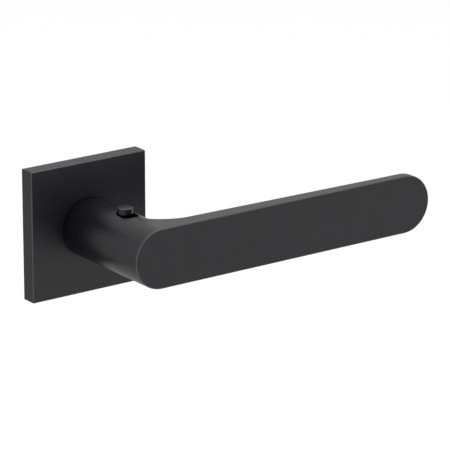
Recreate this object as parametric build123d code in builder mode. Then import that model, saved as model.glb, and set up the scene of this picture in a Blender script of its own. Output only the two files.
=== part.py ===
"""Door lever handle on a square rose, with a sliding thumb lock in the neck.

Frame: the origin is on the spindle axis at the door face. +X runs along the grip towards its tip,
+Y goes into the door and +Z is up, so everything in front of the door has a negative Y.
All sizes are in millimetres. A depth called `front` is the distance in front of the door face,
so a negative front lies inside the door.
"""

from build123d import *

import os
from math import degrees

# ---- Rose ----
ROSE_SIDE = 52.0
ROSE_DEPTH = 6.4
ROSE_EDGE = 0.45
ROSE_FRONT_EDGE = 0.44
COVER_WALL = 1.1
COVER_HOLE_R = 11.3
COVER_INNER_CORNER = 0.8
NOTCH_WIDTH = 7.0
NOTCH_DEPTH = 0.8

# ---- Grip and neck ----
GRIP_HEIGHT = 23.4
GRIP_REACH = 126.7
GRIP_PROJECTION = 55.0
GRIP_THICK_AT_AXIS = 7.6
GRIP_THICK_AT_END = 4.0
GRIP_FRONT_EDGE = 0.5
GRIP_BACK_EDGE = 0.3
GRIP_ROOT = 3.0
FLARE_R = 8.5
NECK_R = GRIP_HEIGHT / 2
NECK_GAP = 1.5
NECK_EDGE = 0.3

# ---- Spigot that turns in the rose ----
SPIGOT_R = 8.0
SPIGOT_FRONT = 40.0
SPIGOT_END = -2.6
SPIGOT_FLAT = 7.2
SPIGOT_CHAMFER = 0.4
RUNNING_CLEARANCE = 0.05

# ---- Spindle and its clamping screw ----
SPINDLE_SIDE = 8.0
SPINDLE_BORE_SIDE = 8.1
SPINDLE_BORE_FRONT = 36.0
SPINDLE_FRONT = 35.5
SPINDLE_END = -30.0
SPINDLE_CHAMFER = 0.8
SET_SCREW_FRONT = 18.0
SET_SCREW_R = 3.0
SET_SCREW_SINK = 1.1
SET_SCREW_CHAMFER = 0.4
SET_SCREW_SOCKET = 3.0
SET_SCREW_SOCKET_DEPTH = 3.2

# ---- Base plate behind the cover ----
PLATE_SIDE = 48.8
PLATE_CORNER = 1.2
CAVITY_R = 14.2
CAVITY_FRONT = 3.5
BUSH_BORE_R = 9.2
LUG_R = 3.75
LUG_LENGTH = 7.0
POCKET_SIDE = 9.0
POCKET_CORNER = 1.5
POCKET_SPACING = 36.2
POCKET_FRONT = 3.6

# ---- Fixing screws in the lugs ----
SCREW_SPACING = 38.0
SCREW_R = 2.0
SCREW_CORE_R = 1.45
SCREW_HOLE_R = 2.25
SCREW_LENGTH = 20.0
SCREW_SHANK_END = -7.3
SCREW_POINT = 3.0
SCREW_POINT_TAPER = 24.0
SCREW_HEAD_R = 3.5
SCREW_HEAD_HEIGHT = 2.2
SCREW_HEAD_ROUND = 1.0
RECESS_SPAN = 4.0
RECESS_WIDTH = 0.8
RECESS_FLOOR = 0.9
SCREW_SEAT_R = 4.0
SCREW_SEAT_FRONT = 2.0
SCREW_WASHER_R = 3.8
SCREW_WASHER_THICK = 0.7

# ---- Lock ring and bearing bush ----
RING_R = 11.4
RING_THICK = 1.2
RING_BORE_R = 8.25
RING_NOTCHES = 8
RING_NOTCH_WIDTH = 3.3
RING_NOTCH_R = 9.9
RING_EAR_WIDTH = 4.0
RING_EAR_R = 12.8
RING_EAR_ANGLE = 45.0
BUSH_FLANGE_R = 10.2
BUSH_SKIRT_R = 11.2
BUSH_SKIRT_THICK = 0.6

# ---- Thumb lock ----
LOCK_TRAVEL = 2.6
BUTTON_R = 2.9
BUTTON_FRONT = 30.7
BUTTON_TOP = 14.0
BUTTON_FOOT = 11.5
BUTTON_EDGE = 0.25
STEM_R = 1.4
STEM_FOOT = 5.0
SLOT_WIDTH = 6.8
SLOT_TRAVEL = 3.2
SLOT_FLOOR = 8.4
STEM_SLOT_WIDTH = 3.2
LINER_THICK = 0.5
CHANNEL_WIDTH = 4.0
CHANNEL_TOP = 7.2
CHANNEL_FRONT = 36.4
BAR_WIDTH = 3.8
BAR_BOTTOM = 4.15
BAR_TOP = 7.05
BAR_FRONT = 33.4
NOSE_WIDTH = 3.0
NOSE_BACK = 1.05
NOSE_THICK = 1.0
NOSE_TOP = 9.6

# ---- Detent of the thumb lock ----
DETENT_FRONT = 24.0
BALL_R = 0.9
BALL_Z = 6.34
DIMPLE_R = 0.95
BALL_POCKET_R = 0.95
BALL_POCKET_FLOOR = 4.55
DETENT_WIRE_R = 0.1
DETENT_COIL_R = 0.7
DETENT_COIL_TURNS = 2
DETENT_CLEARANCE = 0.02

# ---- Return spring, its driver and the travel stops ----
TURN_RANGE = 45.0
DRIVER_BACK = 0.15
DRIVER_THICK = 0.8
DRIVER_DISC_R = 12.3
DRIVER_HUB_R = 10.8
TAB_ANGLE = 240.0
TAB_WIDTH = 2.4
TAB_INNER_R = 12.75
TAB_OUTER_R = 13.8
STOP_PIN_R = 0.75
STOP_PIN_RING_R = 13.25
STOP_PIN_BACK = 0.3
STOP_PIN_FRONT = 4.6
STOP_CLEARANCE = 0.05
SPRING_ANCHOR_ANGLE = 97.0
SPRING_MEAN_R = 11.85
SPRING_WIRE_R = 0.4
SPRING_PITCH = 0.9
SPRING_LEG_R = 13.7
PART_CLEARANCE = 0.1

# ---- Rear retention on the spigot ----
THRUST_WASHER_R = 10.6
THRUST_WASHER_BORE_R = 8.1
THRUST_WASHER_THICK = 0.6
CIRCLIP_THICK = 1.0
CIRCLIP_R = 9.7
CIRCLIP_GROOVE_R = 7.6
CIRCLIP_GAP = 60.0
CIRCLIP_EAR_R = 1.5
CIRCLIP_EAR_HOLE_R = 0.65

# ---- Snap clips that hold the cover ----
CLIP_THICK = 0.5
CLIP_WIDTH = 10.0
CLIP_POCKET_DEPTH = 3.2
CLIP_POCKET_BACK = 0.6
CLIP_POCKET_WIDTH = 11.0
CLIP_GROOVE_DEPTH = 0.5
CLIP_GROOVE_WIDTH = 12.0
CLIP_BEND_R = 0.25
CLIP_BULGE = 1.3
CLIP_GROOVE_BACK = 1.9
CLIP_GROOVE_FRONT = 3.5

plate_front = ROSE_DEPTH - COVER_WALL
cover_inside = ROSE_SIDE / 2 - COVER_WALL
shoulder = ROSE_DEPTH + NECK_GAP
grip_round_x = GRIP_REACH - NECK_R
grip_slope = (GRIP_THICK_AT_AXIS - GRIP_THICK_AT_END) / grip_round_x
ring_front = CAVITY_FRONT + RING_THICK
driver_front = CAVITY_FRONT - PART_CLEARANCE
disc_front = DRIVER_BACK + DRIVER_THICK
washer_front = DRIVER_BACK - RUNNING_CLEARANCE
circlip_front = washer_front - THRUST_WASHER_THICK - RUNNING_CLEARANCE
slot_middle_y = -BUTTON_FRONT - SLOT_TRAVEL / 2
screw_seat = SCREW_SEAT_FRONT + SCREW_WASHER_THICK
screw_point_start = screw_seat + SCREW_POINT - SCREW_LENGTH
screw_places = [(0, SCREW_SPACING / 2), (0, -SCREW_SPACING / 2)]
# The tab stands between two stop pins; the third pin holds the spring's fixed leg.
tab_reach = degrees((TAB_WIDTH / 2 + STOP_PIN_R + STOP_CLEARANCE) / STOP_PIN_RING_R)
pin_angles = [TAB_ANGLE + tab_reach, TAB_ANGLE - TURN_RANGE - tab_reach, SPRING_ANCHOR_ANGLE]


def door_plane(front):
    """Plane parallel to the door face at this distance in front of it, with X to the right and Z up."""
    return Plane.XZ.offset(front)


def level_plane(height):
    """Horizontal plane at this height, with X to the right and Y into the door."""
    return Plane.XY.offset(height)


def radial_plane(angle, radius, front):
    """Plane that faces straight out from the spindle axis, with its origin at this radius and depth."""
    outward = Vector(1, 0, 0).rotate(Axis.Y, -angle)
    return Plane(outward * radius + Vector(0, -front, 0), z_dir=outward)


def save(part, name):
    """Labels a finished piece and writes it as parts/NAME.step."""
    part.label = name
    export_step(part, f"parts/{name}.step")
    print(f"{name:16s} {len(part.solids())} solid(s) {part.volume:10.2f} mm3  valid {part.is_valid}")


os.makedirs("parts", exist_ok=True)

# ==== Rose cover: a square pressed shell that snaps over the base plate ====
with BuildPart() as rose_cover:
    with BuildSketch(door_plane(0)):
        Rectangle(ROSE_SIDE, ROSE_SIDE)
    extrude(amount=ROSE_DEPTH)
    fillet(rose_cover.edges().filter_by(Axis.Y), radius=ROSE_EDGE)
    fillet(rose_cover.faces().sort_by(Axis.Y)[0].edges(), radius=ROSE_FRONT_EDGE)
    with BuildSketch(door_plane(0)):
        RectangleRounded(2 * cover_inside, 2 * cover_inside, COVER_INNER_CORNER)
    extrude(amount=plate_front, mode=Mode.SUBTRACT)
    with BuildSketch(door_plane(0)):
        Circle(COVER_HOLE_R)
    extrude(amount=ROSE_DEPTH, mode=Mode.SUBTRACT)
    # Grooves inside the left and right walls, where the snap clips catch.
    with BuildSketch(door_plane(CLIP_GROOVE_BACK)):
        Rectangle(2 * (cover_inside + CLIP_GROOVE_DEPTH), CLIP_GROOVE_WIDTH)
    extrude(amount=CLIP_GROOVE_FRONT - CLIP_GROOVE_BACK, mode=Mode.SUBTRACT)
    # Notch in the bottom rim, for levering the cover off.
    with BuildSketch(door_plane(0)):
        with Locations((0, -ROSE_SIDE / 2)):
            Rectangle(NOTCH_WIDTH, 3 * COVER_WALL)
    extrude(amount=NOTCH_DEPTH, mode=Mode.SUBTRACT)
save(rose_cover.part, "rose_cover")

# ==== Base plate: die-cast plate on the door, carries the bearing, the ring and the spring ====
with BuildPart() as base_plate:
    with BuildSketch(door_plane(0)):
        RectangleRounded(PLATE_SIDE, PLATE_SIDE, PLATE_CORNER)
    extrude(amount=plate_front)
    # Lugs that reach into the door and carry the shear load.
    with BuildSketch(door_plane(0)):
        with Locations(*screw_places):
            Circle(LUG_R)
    extrude(amount=-LUG_LENGTH)
    # Spring cavity, open towards the door, then the lock ring's seat and the bush's bore.
    with BuildSketch(door_plane(0)):
        Circle(CAVITY_R)
    extrude(amount=CAVITY_FRONT, mode=Mode.SUBTRACT)
    with BuildSketch(door_plane(CAVITY_FRONT)):
        Circle(RING_R)
        Rectangle(2 * RING_EAR_R, RING_EAR_WIDTH, rotation=RING_EAR_ANGLE)
    extrude(amount=RING_THICK, mode=Mode.SUBTRACT)
    with BuildSketch(door_plane(ring_front)):
        Circle(BUSH_BORE_R)
    extrude(amount=plate_front - ring_front, mode=Mode.SUBTRACT)
    for angle in pin_angles:
        with BuildSketch(door_plane(CAVITY_FRONT)):
            with PolarLocations(STOP_PIN_RING_R, 1, start_angle=angle):
                Circle(STOP_PIN_R)
        extrude(amount=STOP_PIN_FRONT - CAVITY_FRONT, mode=Mode.SUBTRACT)
    # Screw holes and the seats of their washers.
    with BuildSketch(door_plane(-LUG_LENGTH)):
        with Locations(*screw_places):
            Circle(SCREW_HOLE_R)
    extrude(amount=LUG_LENGTH + plate_front, mode=Mode.SUBTRACT)
    with BuildSketch(door_plane(SCREW_SEAT_FRONT)):
        with Locations(*screw_places):
            Circle(SCREW_SEAT_R)
    extrude(amount=plate_front - SCREW_SEAT_FRONT, mode=Mode.SUBTRACT)
    # Cored pockets in the four corners of the casting.
    with BuildSketch(door_plane(0)):
        with GridLocations(POCKET_SPACING, POCKET_SPACING, 2, 2):
            RectangleRounded(POCKET_SIDE, POCKET_SIDE, POCKET_CORNER)
    extrude(amount=POCKET_FRONT, mode=Mode.SUBTRACT)
    # Pockets for the snap clips, open to the front and the sides.
    with BuildSketch(door_plane(CLIP_POCKET_BACK)):
        with Locations((PLATE_SIDE / 2, 0), (-PLATE_SIDE / 2, 0)):
            Rectangle(2 * CLIP_POCKET_DEPTH, CLIP_POCKET_WIDTH)
    extrude(amount=plate_front, mode=Mode.SUBTRACT)
save(base_plate.part, "base_plate")

# ==== Fixing screws: two pan-head wood screws through the lugs, and a washer under each head ====
with BuildPart() as fixing_screws:
    for x, z in screw_places:
        with BuildSketch(door_plane(screw_seat)):
            with Locations((x, z)):
                Circle(SCREW_HEAD_R)
        extrude(amount=SCREW_HEAD_HEIGHT)
    fillet(fixing_screws.faces().sort_by(Axis.Y)[:2].edges(), radius=SCREW_HEAD_ROUND)
    # Plain shank in the lug, then the core of the thread and its point.
    for x, z in screw_places:
        with BuildSketch(door_plane(screw_seat)):
            with Locations((x, z)):
                Circle(SCREW_R)
        extrude(amount=SCREW_SHANK_END - screw_seat)
        with BuildSketch(door_plane(SCREW_SHANK_END)):
            with Locations((x, z)):
                Circle(SCREW_CORE_R)
        extrude(amount=screw_point_start - SCREW_SHANK_END)
        with BuildSketch(door_plane(screw_point_start)):
            with Locations((x, z)):
                Circle(SCREW_CORE_R)
        extrude(amount=-SCREW_POINT, taper=SCREW_POINT_TAPER)
    # Cross recess in each head.
    with BuildSketch(door_plane(screw_seat + RECESS_FLOOR)):
        with Locations(*screw_places):
            Rectangle(RECESS_SPAN, RECESS_WIDTH)
            Rectangle(RECESS_WIDTH, RECESS_SPAN)
    extrude(amount=SCREW_HEAD_HEIGHT, mode=Mode.SUBTRACT)
save(fixing_screws.part, "fixing_screws")

with BuildPart() as screw_washers:
    with BuildSketch(door_plane(SCREW_SEAT_FRONT)):
        with Locations(*screw_places):
            Circle(SCREW_WASHER_R)
            Circle(SCREW_HOLE_R, mode=Mode.SUBTRACT)
    extrude(amount=SCREW_WASHER_THICK)
save(screw_washers.part, "screw_washers")

# ==== Bearing bush: black nylon, its flange and skirt show in the gap between rose and neck ====
with BuildPart() as bearing_bush:
    with BuildSketch(door_plane(plate_front)):
        Circle(BUSH_SKIRT_R)
    extrude(amount=BUSH_SKIRT_THICK)
    with BuildSketch(door_plane(plate_front)):
        Circle(BUSH_FLANGE_R)
    extrude(amount=shoulder - RUNNING_CLEARANCE - plate_front)
    with BuildSketch(door_plane(ring_front)):
        Circle(BUSH_BORE_R)
    extrude(amount=plate_front - ring_front)
    with BuildSketch(door_plane(ring_front)):
        Circle(SPIGOT_R + RUNNING_CLEARANCE)
    extrude(amount=shoulder, mode=Mode.SUBTRACT)
save(bearing_bush.part, "bearing_bush")

# ==== Lock ring: notched steel ring, held by two ears in the base plate ====
with BuildPart() as lock_ring:
    with BuildSketch(door_plane(CAVITY_FRONT)):
        Circle(RING_R)
        Rectangle(2 * RING_EAR_R, RING_EAR_WIDTH, rotation=RING_EAR_ANGLE)
        Circle(RING_BORE_R, mode=Mode.SUBTRACT)
        with PolarLocations(RING_NOTCH_R / 2, RING_NOTCHES, start_angle=90):
            Rectangle(RING_NOTCH_R, RING_NOTCH_WIDTH, mode=Mode.SUBTRACT)
    extrude(amount=RING_THICK)
save(lock_ring.part, "lock_ring")

# ==== Lever handle: grip plate, flare and neck in one die casting, bored for the spigot ====
# Side view of the concave flare between the neck and the inclined back of the grip.
back_at_axis = -GRIP_PROJECTION + GRIP_THICK_AT_AXIS
slope_length = (1 + grip_slope**2) ** 0.5
flare_x = NECK_R + FLARE_R
flare_y = back_at_axis - grip_slope * flare_x + FLARE_R * slope_length
flare_start = (NECK_R, flare_y)
flare_end = (flare_x - FLARE_R * grip_slope / slope_length, flare_y - FLARE_R / slope_length)
flare_root = -GRIP_PROJECTION + GRIP_ROOT

with BuildPart() as flare:
    with BuildSketch(Plane.XY):
        with BuildLine():
            RadiusArc(flare_start, flare_end, -FLARE_R)
            Polyline(flare_end, (flare_end[0], flare_root), (0, flare_root), (0, flare_y), flare_start)
        make_face()
    revolve(axis=Axis.Y)
    # The flare only spreads sideways as far as the grip's own outline.
    with BuildSketch(door_plane(0)):
        with Locations((grip_round_x / 2, 0)):
            SlotCenterToCenter(grip_round_x, GRIP_HEIGHT)
    extrude(amount=GRIP_PROJECTION, mode=Mode.INTERSECT)

with BuildPart() as lever_handle:
    with BuildSketch(door_plane(GRIP_PROJECTION - 1.5 * GRIP_THICK_AT_AXIS)):
        with Locations((grip_round_x / 2, 0)):
            SlotCenterToCenter(grip_round_x, GRIP_HEIGHT)
    extrude(amount=1.5 * GRIP_THICK_AT_AXIS)
    # Take the wedge off the back, so that the grip gets thinner towards its tip.
    with BuildSketch(level_plane(-GRIP_HEIGHT)):
        with BuildLine():
            Polyline(
                (-GRIP_HEIGHT, back_at_axis + grip_slope * GRIP_HEIGHT),
                (2 * GRIP_REACH, back_at_axis - grip_slope * 2 * GRIP_REACH),
                (2 * GRIP_REACH, 0),
                (-GRIP_HEIGHT, 0),
                close=True,
            )
        make_face()
    extrude(amount=2 * GRIP_HEIGHT, mode=Mode.SUBTRACT)
    fillet(lever_handle.faces().sort_by(Axis.Y)[0].edges(), radius=GRIP_FRONT_EDGE)
    fillet(lever_handle.faces().sort_by(Axis.Y)[-1].edges(), radius=GRIP_BACK_EDGE)
    with BuildSketch(door_plane(shoulder)):
        Circle(NECK_R)
    extrude(amount=GRIP_PROJECTION - GRIP_ROOT - shoulder)
    fillet(lever_handle.faces().sort_by(Axis.Y)[-1].edges(), radius=NECK_EDGE)
    add(flare.part)
    with BuildSketch(door_plane(shoulder)):
        Circle(SPIGOT_R)
    extrude(amount=SPIGOT_FRONT - shoulder, mode=Mode.SUBTRACT)
    with BuildSketch(level_plane(-NECK_R - 1)):
        with Locations((0, -SET_SCREW_FRONT)):
            Circle(SET_SCREW_R)
    extrude(amount=NECK_R + 1, mode=Mode.SUBTRACT)
    # Slot of the thumb button, and the narrower slot of its stem below it.
    with BuildSketch(level_plane(SLOT_FLOOR)):
        with Locations((0, slot_middle_y)):
            SlotCenterToCenter(SLOT_TRAVEL, SLOT_WIDTH, rotation=90)
    extrude(amount=NECK_R, mode=Mode.SUBTRACT)
    with BuildSketch(level_plane(CHANNEL_TOP)):
        with Locations((0, slot_middle_y)):
            SlotCenterToCenter(SLOT_TRAVEL, STEM_SLOT_WIDTH, rotation=90)
    extrude(amount=NECK_R, mode=Mode.SUBTRACT)
save(lever_handle.part, "lever_handle")

# ==== Spigot: steel sleeve pressed into the neck, it turns in the bush and holds the spindle ====
with BuildPart() as spigot:
    with BuildSketch(door_plane(SPIGOT_END)):
        Circle(SPIGOT_R)
    extrude(amount=SPIGOT_FRONT - SPIGOT_END)
    chamfer(spigot.faces().sort_by(Axis.Y)[-1].edges(), length=SPIGOT_CHAMFER)
    # Groove for the circlip and two driving flats at the inner end.
    with BuildSketch(door_plane(circlip_front)):
        Circle(SPIGOT_R + 1)
        Circle(CIRCLIP_GROOVE_R, mode=Mode.SUBTRACT)
    extrude(amount=-CIRCLIP_THICK - RUNNING_CLEARANCE, mode=Mode.SUBTRACT)
    with BuildSketch(door_plane(SPIGOT_END)):
        with Locations((2 * SPIGOT_FLAT, 0), (-2 * SPIGOT_FLAT, 0)):
            Rectangle(2 * SPIGOT_FLAT, 2 * SPIGOT_R)
    extrude(amount=driver_front - SPIGOT_END, mode=Mode.SUBTRACT)
    # Square bore for the spindle, and the threaded hole of the screw that clamps it.
    with BuildSketch(door_plane(SPIGOT_END)):
        Rectangle(SPINDLE_BORE_SIDE, SPINDLE_BORE_SIDE)
    extrude(amount=SPINDLE_BORE_FRONT - SPIGOT_END, mode=Mode.SUBTRACT)
    with BuildSketch(level_plane(-NECK_R)):
        with Locations((0, -SET_SCREW_FRONT)):
            Circle(SET_SCREW_R)
    extrude(amount=NECK_R, mode=Mode.SUBTRACT)
    # Channel of the lock bar above the spindle, with the nose's slot open to the rear.
    with BuildSketch(door_plane(SPIGOT_END)):
        with Locations((0, CHANNEL_TOP / 2)):
            Rectangle(CHANNEL_WIDTH, CHANNEL_TOP)
    extrude(amount=CHANNEL_FRONT - SPIGOT_END, mode=Mode.SUBTRACT)
    with BuildSketch(door_plane(SPIGOT_END)):
        with Locations((0, SPIGOT_R)):
            Rectangle(NOSE_WIDTH + 2 * PART_CLEARANCE, SPIGOT_R)
    extrude(amount=ring_front + PART_CLEARANCE - SPIGOT_END, mode=Mode.SUBTRACT)
    with BuildSketch(level_plane(CHANNEL_TOP / 2)):
        with Locations((0, slot_middle_y)):
            SlotCenterToCenter(SLOT_TRAVEL, STEM_SLOT_WIDTH, rotation=90)
    extrude(amount=NECK_R, mode=Mode.SUBTRACT)
    # Two dimples in the channel's roof, one for each place of the detent ball.
    with Locations((0, -DETENT_FRONT, BALL_Z), (0, -DETENT_FRONT - LOCK_TRAVEL, BALL_Z)):
        Sphere(DIMPLE_R, mode=Mode.SUBTRACT)
save(spigot.part, "spigot")

# ==== Spindle: 8 mm square steel bar, clamped in the neck ====
with BuildPart() as spindle:
    with BuildSketch(door_plane(SPINDLE_END)):
        Rectangle(SPINDLE_SIDE, SPINDLE_SIDE)
    extrude(amount=SPINDLE_FRONT - SPINDLE_END)
    chamfer(spindle.faces().sort_by(Axis.Y)[0].edges(), length=SPINDLE_CHAMFER)
    chamfer(spindle.faces().sort_by(Axis.Y)[-1].edges(), length=SPINDLE_CHAMFER)
save(spindle.part, "spindle")

# ==== Set screw: socket screw from below that clamps the spindle ====
with BuildPart() as set_screw:
    with BuildSketch(level_plane(-NECK_R + SET_SCREW_SINK)):
        with Locations((0, -SET_SCREW_FRONT)):
            Circle(SET_SCREW_R)
    extrude(amount=NECK_R - SET_SCREW_SINK - SPINDLE_SIDE / 2)
    chamfer(set_screw.edges().filter_by(GeomType.CIRCLE), length=SET_SCREW_CHAMFER)
    with BuildSketch(level_plane(-NECK_R + SET_SCREW_SINK)):
        with Locations((0, -SET_SCREW_FRONT)):
            RegularPolygon(SET_SCREW_SOCKET / 2, 6, major_radius=False)
    extrude(amount=SET_SCREW_SOCKET_DEPTH, mode=Mode.SUBTRACT)
save(set_screw.part, "set_screw")

# ==== Slot liner: nylon strip that the thumb button slides on ====
with BuildPart() as slot_liner:
    with BuildSketch(level_plane(SLOT_FLOOR)):
        with Locations((0, slot_middle_y)):
            SlotCenterToCenter(SLOT_TRAVEL, SLOT_WIDTH, rotation=90)
            SlotCenterToCenter(SLOT_TRAVEL, STEM_SLOT_WIDTH, rotation=90, mode=Mode.SUBTRACT)
    extrude(amount=LINER_THICK)
save(slot_liner.part, "slot_liner")

# ==== Lock button: round thumb button with its stem ====
with BuildPart() as lock_button:
    with BuildSketch(level_plane(BUTTON_FOOT)):
        with Locations((0, -BUTTON_FRONT)):
            Circle(BUTTON_R)
    extrude(amount=BUTTON_TOP - BUTTON_FOOT)
    fillet(lock_button.faces().sort_by(Axis.Z)[-1].edges(), radius=BUTTON_EDGE)
    with BuildSketch(level_plane(STEM_FOOT)):
        with Locations((0, -BUTTON_FRONT)):
            Circle(STEM_R)
    extrude(amount=BUTTON_FOOT - STEM_FOOT)
save(lock_button.part, "lock_button")

# ==== Lock bar: slides above the spindle, its nose enters a notch of the lock ring ====
with BuildPart() as lock_bar:
    with BuildSketch(door_plane(NOSE_BACK)):
        with Locations((0, (BAR_BOTTOM + BAR_TOP) / 2)):
            Rectangle(BAR_WIDTH, BAR_TOP - BAR_BOTTOM)
    extrude(amount=BAR_FRONT - NOSE_BACK)
    with BuildSketch(door_plane(NOSE_BACK)):
        with Locations((0, (BAR_BOTTOM + NOSE_TOP) / 2)):
            Rectangle(NOSE_WIDTH, NOSE_TOP - BAR_BOTTOM)
    extrude(amount=NOSE_THICK)
    with BuildSketch(level_plane(STEM_FOOT)):
        with Locations((0, -BUTTON_FRONT)):
            Circle(STEM_R)
    extrude(amount=BAR_TOP, mode=Mode.SUBTRACT)
    with BuildSketch(level_plane(BALL_POCKET_FLOOR)):
        with Locations((0, -DETENT_FRONT)):
            Circle(BALL_POCKET_R)
    extrude(amount=BAR_TOP, mode=Mode.SUBTRACT)
save(lock_bar.part, "lock_bar")

# ==== Detent ball and its spring, in the lock bar's pocket ====
with BuildPart() as detent_ball:
    with Locations((0, -DETENT_FRONT, BALL_Z)):
        Sphere(BALL_R)
save(detent_ball.part, "detent_ball")

detent_bottom = BALL_POCKET_FLOOR + DETENT_WIRE_R + DETENT_CLEARANCE
detent_rise = BALL_Z - BALL_R - DETENT_WIRE_R - DETENT_CLEARANCE - detent_bottom
with BuildPart() as detent_spring:
    with BuildLine() as detent_coil:
        Helix(
            pitch=detent_rise / DETENT_COIL_TURNS,
            height=detent_rise,
            radius=DETENT_COIL_R,
            center=(0, -DETENT_FRONT, detent_bottom),
        )
    with BuildSketch(detent_coil.line ^ 0):
        Circle(DETENT_WIRE_R)
    sweep(path=detent_coil.line, is_frenet=True)
save(detent_spring.part, "detent_spring")

# ==== Spring driver: keyed on the spigot's flats, its tab winds the spring and meets the stops ====
with BuildPart() as spring_driver:
    with BuildSketch(door_plane(DRIVER_BACK)):
        Circle(DRIVER_DISC_R)
        with PolarLocations(TAB_OUTER_R / 2, 1, start_angle=TAB_ANGLE):
            Rectangle(TAB_OUTER_R, TAB_WIDTH)
    extrude(amount=DRIVER_THICK)
    with BuildSketch(door_plane(disc_front)):
        Circle(DRIVER_HUB_R)
    extrude(amount=driver_front - disc_front)
    with BuildSketch(door_plane(disc_front)):
        with PolarLocations((TAB_INNER_R + TAB_OUTER_R) / 2, 1, start_angle=TAB_ANGLE):
            Rectangle(TAB_OUTER_R - TAB_INNER_R, TAB_WIDTH)
    extrude(amount=driver_front - disc_front)
    with BuildSketch(door_plane(DRIVER_BACK)):
        Circle(SPIGOT_R + RUNNING_CLEARANCE)
        Rectangle(2 * (SPIGOT_FLAT + RUNNING_CLEARANCE), 2 * SPIGOT_R + 1, mode=Mode.INTERSECT)
    extrude(amount=driver_front, mode=Mode.SUBTRACT)
    # Keyway in the hub for the lock bar's nose.
    with BuildSketch(door_plane(disc_front)):
        with Locations((0, DRIVER_HUB_R / 2)):
            Rectangle(RING_NOTCH_WIDTH, DRIVER_HUB_R - 0.8)
    extrude(amount=driver_front, mode=Mode.SUBTRACT)
save(spring_driver.part, "spring_driver")

# ==== Stop pins: two limit the lever's travel, the third anchors the spring ====
with BuildPart() as stop_pins:
    for angle in pin_angles:
        with BuildSketch(door_plane(STOP_PIN_BACK)):
            with PolarLocations(STOP_PIN_RING_R, 1, start_angle=angle):
                Circle(STOP_PIN_R)
        extrude(amount=STOP_PIN_FRONT - STOP_PIN_BACK)
save(stop_pins.part, "stop_pins")

# ==== Return spring: torsion coil round the driver's hub, with a straight leg at each end ====
# The first leg pushes on the driver's tab, the last one bears on the anchor pin.
tab_leg_angle = TAB_ANGLE - degrees((SPRING_WIRE_R + TAB_WIDTH / 2 + STOP_CLEARANCE) / STOP_PIN_RING_R)
pin_leg_angle = SPRING_ANCHOR_ANGLE + degrees((SPRING_WIRE_R + STOP_PIN_R) / STOP_PIN_RING_R) + 0.3
coil_turn = pin_leg_angle - tab_leg_angle + 720
coil_back = disc_front + SPRING_WIRE_R + PART_CLEARANCE
coil_rise = SPRING_PITCH * coil_turn / 360
with BuildPart() as return_spring:
    with BuildLine() as coil_line:
        Helix(
            pitch=SPRING_PITCH,
            height=coil_rise,
            radius=SPRING_MEAN_R,
            center=(0, -coil_back, 0),
            direction=(0, -1, 0),
        )
    # The helix starts at the bottom, so it is turned to start at the tab's leg.
    return_coil = coil_line.edge().rotate(Axis.Y, 270 - tab_leg_angle)
    with BuildSketch(return_coil ^ 0):
        Circle(SPRING_WIRE_R)
    sweep(path=return_coil, is_frenet=True)
    for angle, front in ((tab_leg_angle, coil_back), (pin_leg_angle, coil_back + coil_rise)):
        with BuildSketch(radial_plane(angle, SPRING_MEAN_R - SPRING_WIRE_R / 2, front)):
            Circle(SPRING_WIRE_R)
        extrude(amount=SPRING_LEG_R - SPRING_MEAN_R + SPRING_WIRE_R / 2)
save(return_spring.part, "return_spring")

# ==== Thrust washer and circlip: hold the spigot in the base plate from behind ====
with BuildPart() as thrust_washer:
    with BuildSketch(door_plane(washer_front)):
        Circle(THRUST_WASHER_R)
        Circle(THRUST_WASHER_BORE_R, mode=Mode.SUBTRACT)
    extrude(amount=-THRUST_WASHER_THICK)
save(thrust_washer.part, "thrust_washer")

circlip_inner_r = CIRCLIP_GROOVE_R + RUNNING_CLEARANCE
ear_angle = CIRCLIP_GAP / 2 + degrees(CIRCLIP_EAR_R / CIRCLIP_R)
with BuildPart() as circlip:
    with BuildSketch(door_plane(circlip_front - RUNNING_CLEARANCE / 2)):
        Circle(CIRCLIP_R)
        with BuildLine():
            gap_side = PolarLine((0, 0), 2 * CIRCLIP_R, 270 - CIRCLIP_GAP / 2)
            other_side = PolarLine((0, 0), 2 * CIRCLIP_R, 270 + CIRCLIP_GAP / 2)
            Line(gap_side @ 1, other_side @ 1)
        make_face(mode=Mode.SUBTRACT)
        with PolarLocations(CIRCLIP_R - CIRCLIP_EAR_R / 2, 2, 270 - ear_angle, 4 * ear_angle):
            Circle(CIRCLIP_EAR_R)
            Circle(CIRCLIP_EAR_HOLE_R, mode=Mode.SUBTRACT)
        Circle(circlip_inner_r, mode=Mode.SUBTRACT)
    extrude(amount=-CIRCLIP_THICK)
save(circlip.part, "circlip")

# ==== Cover clips: bent spring strips in the side pockets, their bulge catches the cover ====
clip_inner_x = PLATE_SIDE / 2 - CLIP_POCKET_DEPTH + CLIP_THICK / 2
clip_floor_y = -CLIP_POCKET_BACK - CLIP_THICK / 2
clip_middle_y = -(CLIP_GROOVE_BACK + CLIP_GROOVE_FRONT) / 2
clip_outer_x = PLATE_SIDE / 2 - 0.7
with BuildPart() as cover_clips:
    with BuildSketch(level_plane(-CLIP_WIDTH / 2)):
        with BuildLine():
            FilletPolyline(
                (clip_inner_x, 0.4 - plate_front),
                (clip_inner_x, clip_floor_y),
                (clip_outer_x, clip_floor_y),
                (clip_outer_x, clip_floor_y - 0.6),
                (clip_outer_x + CLIP_BULGE, clip_middle_y),
                (clip_outer_x, 0.9 - plate_front),
                radius=CLIP_BEND_R,
            )
            offset(amount=CLIP_THICK / 2, side=Side.BOTH)
        make_face()
    extrude(amount=CLIP_WIDTH)
    mirror(about=Plane.YZ)
save(cover_clips.part, "cover_clips")
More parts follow.
